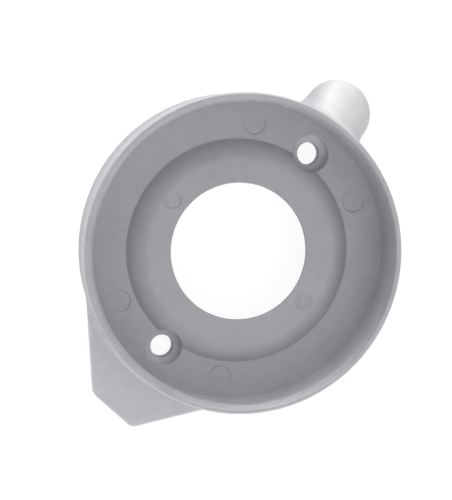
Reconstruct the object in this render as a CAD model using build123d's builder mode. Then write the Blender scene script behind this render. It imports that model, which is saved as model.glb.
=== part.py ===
from build123d import *
from math import acos, atan2, cos, hypot, radians, sin, sqrt, tan
import os

# Sacrificial ring anode of cast zinc, for a propeller shaft. Sizes in millimetres.
# The mating face lies on Z = 0, the bore axis is Z and the dish opens upwards.
# The screw holes lie on the Y axis, the nose lug points to +Y and the wing lug to -Y.

# Ring
ring_diameter = 125.0
overall_height = 27.0
outer_draft = 1.7
rim_rounding = 1.0

# Dish inside the ring
lip_width = 2.1
flare_width = 1.6
flare_depth = 2.0
dish_depth = 16.8
wall_draft = 0.5

# Raised hub round the bore
hub_face_diameter = 71.6
hub_foot_diameter = 88.3
hub_rise = 3.1
bore_diameter = 54.0
bore_land = 1.0
bore_relief_angle = 15.0

# Screw holes
screw_spacing = 96.0
screw_hole_diameter = 9.0
screw_head_diameter = 14.6
screw_head_depth = 5.0

# Marks left by the ejector pins of the mould
floor_pin_diameter = 8.6
floor_pin_circle = 101.0
floor_pin_angle = 30.0
hub_pin_diameter = 6.4
hub_pin_circle = 66.0
hub_pin_dot_diameter = 3.2
pin_mark_depth = 0.2

# Wing lug, a flat plate
wing_thickness = 6.0
wing_reach = 17.7
wing_end_width = 20.1
wing_side_inset = 2.6772
wing_end_tilt = 5.4
wing_turn = 0.7
wing_corner_radius = 3.5
wing_top_rounding = 0.8
wing_cove_radius = 2.0

# Nose lug, a low step with a fairing that climbs from it to the rim
nose_reach = 18.8
nose_radius = 13.4
nose_root_fillet = 8.0
nose_step_height = 4.0
nose_step_rounding = 2.0
fairing_top_radius = 9.5
fairing_top_below_rim = 2.0
fairing_top_inset = 1.2

# Places that follow from the sizes above
ring_radius = ring_diameter / 2
ring_back_radius = ring_radius - overall_height * tan(radians(outer_draft))
lip_inner_radius = ring_radius - lip_width
wall_top_radius = lip_inner_radius - flare_width
wall_top_z = overall_height - flare_depth
floor_z = overall_height - dish_depth
wall_foot_radius = wall_top_radius - (wall_top_z - floor_z) * tan(radians(wall_draft))
hub_face_radius = hub_face_diameter / 2
hub_foot_radius = hub_foot_diameter / 2
hub_z = floor_z + hub_rise
bore_radius = bore_diameter / 2
relief_z = hub_z - bore_land
bore_back_radius = bore_radius + relief_z * tan(radians(bore_relief_angle))
screw_seat_z = floor_z - screw_head_depth
wing_plane = Plane.XY.rotated((0, 0, wing_turn))

# Sides of the wing: lines through the corners of its end that pass the bore axis just inside the ring's edge
wing_end_x = wing_end_width / 2
wing_end_y = ring_radius + wing_reach
wing_side_distance = ring_radius - wing_side_inset
wing_side_slope = atan2(wing_end_y, wing_end_x) - acos(wing_side_distance / hypot(wing_end_x, wing_end_y))

# Shoulder of the hub: an arc that leaves the hub face without an edge
shoulder_width = hub_foot_radius - hub_face_radius
shoulder_radius = (shoulder_width**2 + hub_rise**2) / (2 * hub_rise)


def round_corner(outline, corner, radius):
    """Round the corner of the face that was just made from an outline."""
    fillet(outline.vertices().sort_by_distance(corner)[0], radius)


def nose_outline(half_width, tip_y):
    """Face from the middle of the ring to a round tip at tip_y."""
    arc_y = tip_y - half_width
    with BuildLine() as outline:
        Polyline((-half_width, arc_y), (-half_width, 0), (half_width, 0), (half_width, arc_y))
        ThreePointArc((-half_width, arc_y), (0, tip_y), (half_width, arc_y))
    make_face(outline.edges())


def wing_end_corner(side):
    """Corner of the wing on one side (-1 or +1 along X), where the tilted end meets the slanted side."""
    tilt = tan(radians(wing_end_tilt))
    x = side * wing_end_x * cos(wing_side_slope) / (cos(wing_side_slope) + side * tilt * sin(wing_side_slope))
    return x, -wing_end_y - x * tilt


def wing_outline():
    """Face from the middle of the ring to the end of the wing."""
    root_x = wing_side_distance * cos(wing_side_slope)
    root_y = wing_side_distance * sin(wing_side_slope)
    with BuildLine() as outline:
        Polyline((0, 0), (-root_x, -root_y), wing_end_corner(-1), wing_end_corner(1), (root_x, -root_y), (0, 0))
    make_face(outline.edges())
    fillet(outline.vertices().sort_by(Axis.Y)[:2], wing_corner_radius)


def wall_gap(place):
    """Distance of a point outside the sloping outer wall of the ring."""
    wall_radius = ring_back_radius + place.Z * tan(radians(outer_draft))
    return sqrt(place.X**2 + place.Y**2) - wall_radius


def on_ring_wall(edge):
    """True for an edge that lies on the outer wall of the ring, off its two ends."""
    middle = edge @ 0.5
    widest = max(abs(wall_gap(edge @ share)) for share in (0, 0.3, 0.5))
    return widest < 0.01 and 0.01 < middle.Z < overall_height - rim_rounding - 0.01


def root_edges(part, side):
    """Edges where the lug on one side (+1 or -1 along Y) grows out of the ring."""
    return part.edges().filter_by(lambda edge: on_ring_wall(edge) and side * (edge @ 0.5).Y > ring_radius / 2)


def top_edges(part, side, height):
    """Edges round the top of the lug on one side, outside the ring."""
    return part.edges().filter_by(
        lambda edge: side * (edge @ 0.5).Y > ring_radius / 2
        and abs((edge @ 0.5).Z - height) < 0.01
        and wall_gap(edge @ 0.5) > 0.01
    )


def body_profile():
    """Half section of the ring before it is hollowed out."""
    with BuildLine() as outline:
        Polyline((0, 0), (ring_back_radius, 0), (ring_radius, overall_height), (0, overall_height), (0, 0))
    make_face(outline.edges())
    round_corner(outline, (ring_radius, overall_height), rim_rounding)


def dish_profile():
    """Half section of the hollow inside the ring, with the hub left standing in it."""
    with BuildLine() as outline:
        Line((0, overall_height), (lip_inner_radius, overall_height))
        Line((lip_inner_radius, overall_height), (wall_top_radius, wall_top_z))
        Line((wall_top_radius, wall_top_z), (wall_foot_radius, floor_z))
        Line((wall_foot_radius, floor_z), (hub_foot_radius, floor_z))
        RadiusArc((hub_foot_radius, floor_z), (hub_face_radius, hub_z), -shoulder_radius)
        Line((hub_face_radius, hub_z), (0, hub_z))
        Line((0, hub_z), (0, overall_height))
    make_face(outline.edges())


def bore_profile():
    """Half section of the bore: a short land at the hub face, then a cone that opens to the back."""
    with BuildLine() as outline:
        Polyline(
            (0, 0),
            (bore_back_radius, 0),
            (bore_radius, relief_z),
            (bore_radius, hub_z),
            (0, hub_z),
            (0, 0),
        )
    make_face(outline.edges())


def cove_profile():
    """Half section of the hollow blend between the top of the wing and the wall of the ring."""
    wall_x = ring_back_radius + wing_thickness * tan(radians(outer_draft))
    cove_top = (wall_x, wing_thickness + wing_cove_radius)
    cove_foot = (wall_x + wing_cove_radius, wing_thickness)
    with BuildLine() as outline:
        RadiusArc(cove_top, cove_foot, -wing_cove_radius)
        Polyline(cove_foot, (wall_x, wing_thickness / 2), (hub_foot_radius, wing_thickness / 2))
        Polyline((hub_foot_radius, wing_thickness / 2), (hub_foot_radius, cove_top[1]), cove_top)
    make_face(outline.edges())


# Blend above the wing lug, cut to the wing's own outline
with BuildPart() as wing_cove:
    with BuildSketch(Plane.XZ):
        cove_profile()
    revolve(axis=Axis.Z)
    with BuildSketch(wing_plane):
        wing_outline()
    extrude(amount=overall_height, mode=Mode.INTERSECT)

with BuildPart() as ring_anode:
    # Body of the ring, still solid inside
    with BuildSketch(Plane.XZ):
        body_profile()
    revolve(axis=Axis.Z)

    # Wing lug
    with BuildSketch(wing_plane):
        wing_outline()
    extrude(amount=wing_thickness)
    fillet(top_edges(ring_anode, -1, wing_thickness), wing_top_rounding)
    add(wing_cove.part)

    # Nose lug
    with BuildSketch():
        nose_outline(nose_radius, ring_radius + nose_reach)
    extrude(amount=nose_step_height)
    with BuildSketch(Plane.XY.offset(nose_step_height)):
        nose_outline(nose_radius, ring_radius + nose_reach)
    with BuildSketch(Plane.XY.offset(overall_height - fairing_top_below_rim)):
        nose_outline(fairing_top_radius, ring_radius - fairing_top_inset)
    loft(ruled=True)
    fillet(top_edges(ring_anode, 1, nose_step_height), nose_step_rounding)
    fillet(root_edges(ring_anode, 1), nose_root_fillet)

    # Dish, bore and screw holes
    with BuildSketch(Plane.XZ):
        dish_profile()
    revolve(axis=Axis.Z, mode=Mode.SUBTRACT)
    with BuildSketch(Plane.XZ):
        bore_profile()
    revolve(axis=Axis.Z, mode=Mode.SUBTRACT)
    with Locations((0, screw_spacing / 2, hub_z), (0, -screw_spacing / 2, hub_z)):
        CounterBoreHole(screw_hole_diameter / 2, screw_head_diameter / 2, hub_z - screw_seat_z, hub_z)

    # Shallow round marks in the floor of the dish and on the hub face
    with BuildSketch(Plane.XY.offset(floor_z - pin_mark_depth)):
        for angle in (90 - floor_pin_angle, 90 + floor_pin_angle, floor_pin_angle - 90, -90 - floor_pin_angle):
            with PolarLocations(floor_pin_circle / 2, 1, angle):
                Circle(floor_pin_diameter / 2)
    extrude(amount=pin_mark_depth, mode=Mode.SUBTRACT)
    with BuildSketch(Plane.XY.offset(hub_z - pin_mark_depth)):
        with Locations((hub_pin_circle / 2, 0), (-hub_pin_circle / 2, 0)):
            Circle(hub_pin_diameter / 2)
        with Locations((hub_pin_circle / 2, 0)):
            Circle(hub_pin_dot_diameter / 2, mode=Mode.SUBTRACT)
    extrude(amount=pin_mark_depth, mode=Mode.SUBTRACT)

ring_anode.part.label = "ring_anode"
os.makedirs("parts", exist_ok=True)
export_step(ring_anode.part, "parts/ring_anode.step")
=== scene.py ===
from math import radians

import bpy
from mathutils import Matrix, Vector

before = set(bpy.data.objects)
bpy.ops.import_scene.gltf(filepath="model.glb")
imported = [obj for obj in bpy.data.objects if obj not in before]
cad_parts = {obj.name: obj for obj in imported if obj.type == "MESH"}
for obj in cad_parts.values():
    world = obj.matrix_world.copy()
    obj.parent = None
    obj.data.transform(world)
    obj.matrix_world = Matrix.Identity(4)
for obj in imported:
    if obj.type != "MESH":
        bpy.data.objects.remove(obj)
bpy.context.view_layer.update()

# A ring anode of cast zinc lies on its flat back on a pale floor. Lengths are in metres.
# Its bore axis is Z, the nose lug points to +Y and the wing lug to -Y.
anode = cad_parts["ring_anode"]

# The camera stands almost straight above the dish, a little to its -X side
camera_place = Vector((-0.1501, -0.0288, 0.7475))
camera_aim = Vector((-0.00174, -0.00218, 0.0))
image_up = Vector((-0.5998, 0.7950, -0.0907))
camera_lens = 137.5
sensor_height = 36
nearest_view = 0.01
farthest_view = 50

# Soft studio light from the sky: a weak spot overhead, low panels near the horizon, high panels above them.
# A panel has its turn from the top of the picture, in degrees counterclockwise as seen from above,
# its strength, and its sharpness: the power that narrows it to both sides.
overhead_light = 1.1
overhead_sharpness = 6.0
low_panels = ((14, 11.8, 4.5), (135, 1.9, 4), (180, 1.9, 4), (225, 3.0, 4))
low_band_sharpness = 3.0
high_panels = ((90, 0.65, 4), (180, 2.1, 4), (225, 0.5, 4), (270, 0.8, 4), (315, 0.84, 4))
high_band_height = 0.62
high_band_sharpness = 9.0

# Floor. The camera sees a darker floor that glows, so it looks white and still shows a faint shadow.
floor_size = 6.0
floor_gap = 0.0001
floor_colour = (0.9, 0.9, 0.9, 1)
shadow_colour = (0.2, 0.2, 0.2, 1)
white_glow = 0.89
mirrored_glow = 0.2

# Cast zinc: darker inside the dish, lighter on the lip and outside; the lighter grey outside is painted
# light, for the light the outer surfaces catch from the bright floor
zinc_metal = 0.25
zinc_roughness = (0.44, 0.58)
zinc_tint = (0.985, 1.0, 1.06, 1)
nose_tint = (1.0, 1.0, 1.02, 1)
dish_grey = 0.42
wall_grey = 0.45
lip_grey = 0.461
outer_painted_light_grey = 0.60
seat_painted_light_grey = 0.61

# Where one grey turns into the next, by distance from the bore axis
wall_zone = (0.0510, 0.0570)
lip_zone = (0.0602, 0.0606)
outer_zone = (0.0616, 0.0624)

# Screw seats in their counterbores, painted lighter to lift the shade on them and their walls
screw_hole_y = 0.048
seat_zone = (0.0073, 0.0074)

# Painted highlight along the ridge of the nose, with a little painted shade at its left root: how it starts
# and grows along Y, and how it fades to both sides along X
nose_zone = (0.058, 0.064)
nose_highlight_zone = (0.062, 0.076)
nose_highlight = (0.10, 0.165)
nose_left_zone = (-0.0125, -0.0085)
nose_left_shares = (-0.2, 1.0)
nose_right_zone = (-0.001, 0.010)
nose_right_shares = (1.0, 0.0)

# Painted shade on the sloping shoulder of the hub, by distance from its own centre and from the bore axis
shoulder_shade_centre = (0.00085, 0.00025, 0.0)
shoulder_shade_start_zone = (0.0366, 0.0386)
shoulder_shade_end_zone = (0.0439, 0.0445)
shoulder_shade_share = 0.09

# Painted light and shade on the flare below the lip, from the shaded side to the lit side
flare_foot_zone = (0.0244, 0.0254)
flare_lit_side = (-0.795, -0.600, 0.0)
flare_side_zone = (-0.06, 0.06)
flare_light_shares = (-0.26, 0.16)

# Painted highlight on the edge between flare and lip, on one side
mouth_highlight_radius = 0.0606
mouth_highlight_zone = (0.0002, 0.0005)
mouth_highlight_side = (0.729, -0.679, 0.0)
mouth_highlight_side_zone = (0.048, 0.060)
mouth_highlight_share = 0.38

# Noise of the casting skin: typical size, detail and roughness
patch_noise = (0.014, 3.0, 0.5)
blotch_noise = (0.0035, 3.0, 0.6)
grain_noise = (0.0005, 2.0, 0.6)
scuff_noise = (0.0022, 4.0, 0.7)

# Range that each noise is taken over, and what it adds to the tone
common_range = (0.3, 0.7)
grain_range = (0.25, 0.75)
scuff_range = (0.60, 0.72)
patch_tone = (0.96, 1.04)
blotch_tone = (-0.03, 0.03)
grain_tone = (-0.02, 0.02)
scuff_tone = 0.05

# Painted shade in the creases inside the dish and painted highlights on the edges outside it, and how far
# the surface turns there
crease_shade_tone = -0.04
edge_highlight_tone = 0.06
edge_turn = (0.98, 0.85)

# Rounding that the shading gives to edges, and to the high inner wall
edge_softness = 0.0006
edge_samples = 6
wall_softness = 0.0020
wall_samples = 8
high_wall_zone = (0.015, 0.019)

# Relief of the casting skin
relief_strength = 0.25
blotch_relief = 0.00010
grain_relief = 0.00004


class Tree:
    """Node tree of a material or a world, with short ways to add nodes."""

    # A Mix node's two inputs and its output, for each kind of value
    mix_sockets = {"RGBA": (6, 7, 2), "VECTOR": (4, 5, 1)}

    def __init__(self, owner):
        owner.use_nodes = True
        self.tree = owner.node_tree
        self.tree.nodes.clear()

    def add(self, kind, inputs=None, **values):
        """New node, with its settings and its inputs, each a number, a colour or another node's output."""
        node = self.tree.nodes.new(kind)
        for name, value in values.items():
            setattr(node, name, value)
        for key, value in (inputs or {}).items():
            if isinstance(value, bpy.types.NodeSocket):
                self.tree.links.new(value, node.inputs[key])
            else:
                node.inputs[key].default_value = value
        return node

    def math(self, operation, *values, clamp=False):
        """Result of a math node."""
        node = self.add("ShaderNodeMath", dict(enumerate(values)), operation=operation)
        node.use_clamp = clamp
        return node.outputs[0]

    def product(self, first, *others):
        """All the values multiplied."""
        for value in others:
            first = self.math("MULTIPLY", first, value)
        return first

    def vector(self, operation, *values):
        """Result of a vector math node."""
        node = self.add("ShaderNodeVectorMath", dict(enumerate(values)), operation=operation)
        return node.outputs["Value" if operation in ("DOT_PRODUCT", "LENGTH") else "Vector"]

    def level(self, x, y):
        """Vector along the floor."""
        return self.add("ShaderNodeCombineXYZ", {"X": x, "Y": y}).outputs[0]

    def mix(self, kind, factor, first, second):
        """Mix of two colours or two directions."""
        first_input, second_input, output = self.mix_sockets[kind]
        inputs = {0: factor, first_input: first, second_input: second}
        return self.add("ShaderNodeMix", inputs, data_type=kind).outputs[output]

    def fit(self, value, low, high, new_low=0.0, new_high=1.0):
        """Value mapped from one range to another, and kept inside it."""
        inputs = {"Value": value, "From Min": low, "From Max": high, "To Min": new_low, "To Max": new_high}
        return self.add("ShaderNodeMapRange", inputs).outputs["Result"]

    def noise(self, place, size, detail, roughness):
        """Noise of a typical size, about 0.5 on average."""
        inputs = {"Vector": place, "Scale": 1 / size, "Detail": detail, "Roughness": roughness}
        return self.add("ShaderNodeTexNoise", inputs).outputs["Fac"]


def set_camera():
    """Camera at the photograph's angle, with the picture's own up direction."""
    camera = bpy.data.objects.new("camera", bpy.data.cameras.new("camera"))
    backward = (camera_place - camera_aim).normalized()
    right = image_up.cross(backward).normalized()
    up = backward.cross(right)
    turned = Matrix((right, up, backward)).transposed().to_4x4()
    camera.matrix_world = Matrix.Translation(camera_place) @ turned
    camera.data.sensor_fit = "VERTICAL"
    camera.data.sensor_height = sensor_height
    camera.data.lens = camera_lens
    camera.data.clip_start = nearest_view
    camera.data.clip_end = farthest_view
    bpy.context.scene.collection.objects.link(camera)
    bpy.context.scene.camera = camera


def set_sky():
    """World light made of soft panels, white where the camera sees it."""
    world = bpy.data.worlds.new("sky")
    bpy.context.scene.world = world
    t = Tree(world)
    direction = t.add("ShaderNodeTexCoord").outputs["Generated"]
    parts = t.add("ShaderNodeSeparateXYZ", {0: direction}).outputs
    height = t.math("MAXIMUM", parts["Z"], 0.0)
    compass = t.vector("NORMALIZE", t.level(parts["X"], parts["Y"]))
    low_band = t.math("POWER", t.math("SUBTRACT", 1.0, height), low_band_sharpness)
    off_band = t.math("SUBTRACT", height, high_band_height)
    high_band = t.math("SUBTRACT", 1.0, t.product(off_band, off_band, high_band_sharpness), clamp=True)
    total = t.product(t.math("POWER", height, overhead_sharpness), overhead_light)
    picture_top = Vector((image_up.x, image_up.y, 0)).normalized()
    for band, panels in ((low_band, low_panels), (high_band, high_panels)):
        for turn, strength, sharpness in panels:
            centre = Matrix.Rotation(radians(turn), 3, "Z") @ picture_top
            facing = t.math("MAXIMUM", t.vector("DOT_PRODUCT", compass, centre), 0.0)
            panel = t.product(t.math("POWER", facing, sharpness), band, strength)
            total = t.math("ADD", total, panel)
    above = t.math("GREATER_THAN", parts["Z"], 0.0)
    light = t.add("ShaderNodeBackground", {"Strength": t.product(total, above)}).outputs[0]
    white = t.add("ShaderNodeBackground", {"Color": (1, 1, 1, 1)}).outputs[0]
    camera_ray = t.add("ShaderNodeLightPath").outputs["Is Camera Ray"]
    seen = t.add("ShaderNodeMixShader", {0: camera_ray, 1: light, 2: white}).outputs[0]
    t.add("ShaderNodeOutputWorld", {"Surface": seen})


def make_floor():
    """Pale floor that looks white and keeps a faint shadow of the anode."""
    mesh = bpy.data.meshes.new("floor")
    half = floor_size / 2
    corners = [(x * half, y * half, -floor_gap) for x, y in ((-1, -1), (1, -1), (1, 1), (-1, 1))]
    mesh.from_pydata(corners, [], [(0, 1, 2, 3)])
    floor = bpy.data.objects.new("floor", mesh)
    bpy.context.scene.collection.objects.link(floor)
    paint = bpy.data.materials.new("floor_paint")
    t = Tree(paint)
    ray = t.add("ShaderNodeLightPath").outputs
    colour = t.mix("RGBA", ray["Is Camera Ray"], floor_colour, shadow_colour)
    matt = t.add("ShaderNodeBsdfDiffuse", {"Color": colour}).outputs[0]
    mirrored = t.math("MAXIMUM", ray["Is Glossy Ray"], ray["Is Transmission Ray"])
    seen_glow = t.product(ray["Is Camera Ray"], white_glow)
    strength = t.math("ADD", seen_glow, t.product(mirrored, mirrored_glow))
    glow = t.add("ShaderNodeEmission", {"Strength": strength}).outputs[0]
    both = t.add("ShaderNodeAddShader", {0: matt, 1: glow}).outputs[0]
    t.add("ShaderNodeOutputMaterial", {"Surface": both})
    mesh.materials.append(paint)


def cast_zinc():
    """Matt grey casting skin: fine grain, faint mottling and scuffs, with painted light and shade: lighter
    outside and in the screw seats, painted highlights on the nose ridge, the mouth and the edges, painted
    shade on the hub shoulder, in the dish's creases and on one side of the flare.
    """
    material = bpy.data.materials.new("cast_zinc_skin")
    t = Tree(material)
    place = t.add("ShaderNodeTexCoord").outputs["Object"]
    parts = t.add("ShaderNodeSeparateXYZ", {0: place}).outputs
    from_axis = t.level(parts["X"], parts["Y"])
    radius = t.vector("LENGTH", from_axis)

    # Grey of each area; the lighter grey outside is painted light
    on_lip = t.fit(radius, *lip_zone)
    off_lip = t.math("SUBTRACT", 1.0, on_lip)
    outside = t.fit(radius, *outer_zone)
    grey = t.fit(radius, *wall_zone, dish_grey, wall_grey)
    grey = t.math("ADD", grey, t.product(on_lip, lip_grey - wall_grey))
    grey = t.math("ADD", grey, t.product(outside, outer_painted_light_grey - lip_grey))

    # Painted highlight on the ridge of the nose, with a little painted shade at its left root
    on_nose = t.product(t.fit(parts["Y"], *nose_zone), outside)
    ridge_highlight = t.fit(parts["Y"], *nose_highlight_zone, *nose_highlight)
    left_share = t.fit(parts["X"], *nose_left_zone, *nose_left_shares)
    right_share = t.fit(parts["X"], *nose_right_zone, *nose_right_shares)
    grey = t.math("ADD", grey, t.product(ridge_highlight, left_share, right_share, on_nose))

    # Painted shade on the shoulder of the hub
    shoulder_shade_radius = t.vector("LENGTH", t.vector("SUBTRACT", from_axis, shoulder_shade_centre))
    shoulder_shade = t.product(t.fit(shoulder_shade_radius, *shoulder_shade_start_zone), t.fit(radius, *shoulder_shade_end_zone, 1.0, 0.0))
    grey = t.product(grey, t.math("SUBTRACT", 1.0, t.product(shoulder_shade, shoulder_shade_share)))

    # Painted light and shade on the flare
    flare_light_share = t.fit(t.vector("DOT_PRODUCT", place, flare_lit_side), *flare_side_zone, *flare_light_shares)
    flare_painted_light = t.product(t.fit(parts["Z"], *flare_foot_zone), off_lip, flare_light_share)
    grey = t.product(grey, t.math("ADD", 1.0, flare_painted_light))

    # Painted highlight on the edge between flare and lip
    off_line = t.math("ABSOLUTE", t.math("SUBTRACT", radius, mouth_highlight_radius))
    mouth_highlight_side_share = t.fit(t.vector("DOT_PRODUCT", place, mouth_highlight_side), *mouth_highlight_side_zone, 0.0, mouth_highlight_share)
    mouth_highlight = t.product(t.fit(off_line, *mouth_highlight_zone, 1.0, 0.0), mouth_highlight_side_share)
    grey = t.product(grey, t.math("ADD", 1.0, mouth_highlight))

    # Screw seats and counterbore walls, painted lighter to lift their shade
    along_screws = t.math("SUBTRACT", t.math("ABSOLUTE", parts["Y"]), screw_hole_y)
    screw_radius = t.vector("LENGTH", t.level(parts["X"], along_screws))
    in_seat = t.fit(screw_radius, *seat_zone, 1.0, 0.0)
    grey = t.math("ADD", grey, t.product(in_seat, seat_painted_light_grey - dish_grey))

    # Softened directions of the surface, and where they show an edge or a crease
    flat = t.add("ShaderNodeNewGeometry").outputs["Normal"]
    soft = t.add("ShaderNodeBevel", {"Radius": edge_softness}, samples=edge_samples).outputs[0]
    softer = t.add("ShaderNodeBevel", {"Radius": wall_softness}, samples=wall_samples).outputs[0]
    on_high_wall = t.product(t.fit(parts["Z"], *high_wall_zone), off_lip)
    direction = t.mix("VECTOR", on_high_wall, soft, softer)
    at_edge = t.fit(t.vector("DOT_PRODUCT", soft, flat), *edge_turn)

    # Tone of the patches, blotches, grain and scuffs, with painted shade in creases and painted highlights
    # on edges
    patches = t.noise(place, *patch_noise)
    blotches = t.noise(place, *blotch_noise)
    grain = t.noise(place, *grain_noise)
    scuffs = t.fit(t.noise(place, *scuff_noise), *scuff_range)
    tone = t.fit(patches, *common_range, *patch_tone)
    tone = t.math("ADD", tone, t.fit(blotches, *common_range, *blotch_tone))
    tone = t.math("ADD", tone, t.fit(grain, *grain_range, *grain_tone))
    tone = t.math("SUBTRACT", tone, t.product(scuffs, scuff_tone))
    tone = t.math("ADD", tone, t.product(at_edge, t.fit(on_lip, 0.0, 1.0, crease_shade_tone, edge_highlight_tone)))
    grey = t.product(grey, tone)
    tint = t.mix("RGBA", on_nose, zinc_tint, nose_tint)
    colour = t.add("ShaderNodeVectorMath", {0: tint, "Scale": grey}, operation="SCALE").outputs[0]

    # Relief of the blotches, and of the grain on top of it
    bump = direction
    for height, depth in ((blotches, blotch_relief), (grain, grain_relief)):
        inputs = {"Strength": relief_strength, "Distance": depth, "Height": height, "Normal": bump}
        bump = t.add("ShaderNodeBump", inputs).outputs[0]
    inputs = {
        "Base Color": colour,
        "Metallic": zinc_metal,
        "Roughness": t.fit(patches, *common_range, *zinc_roughness),
        "Normal": bump,
    }
    shader = t.add("ShaderNodeBsdfPrincipled", inputs).outputs[0]
    t.add("ShaderNodeOutputMaterial", {"Surface": shader})
    return material


set_camera()
set_sky()
make_floor()
anode.data.materials.clear()
anode.data.materials.append(cast_zinc())

bpy.context.scene.view_settings.view_transform = "Standard"
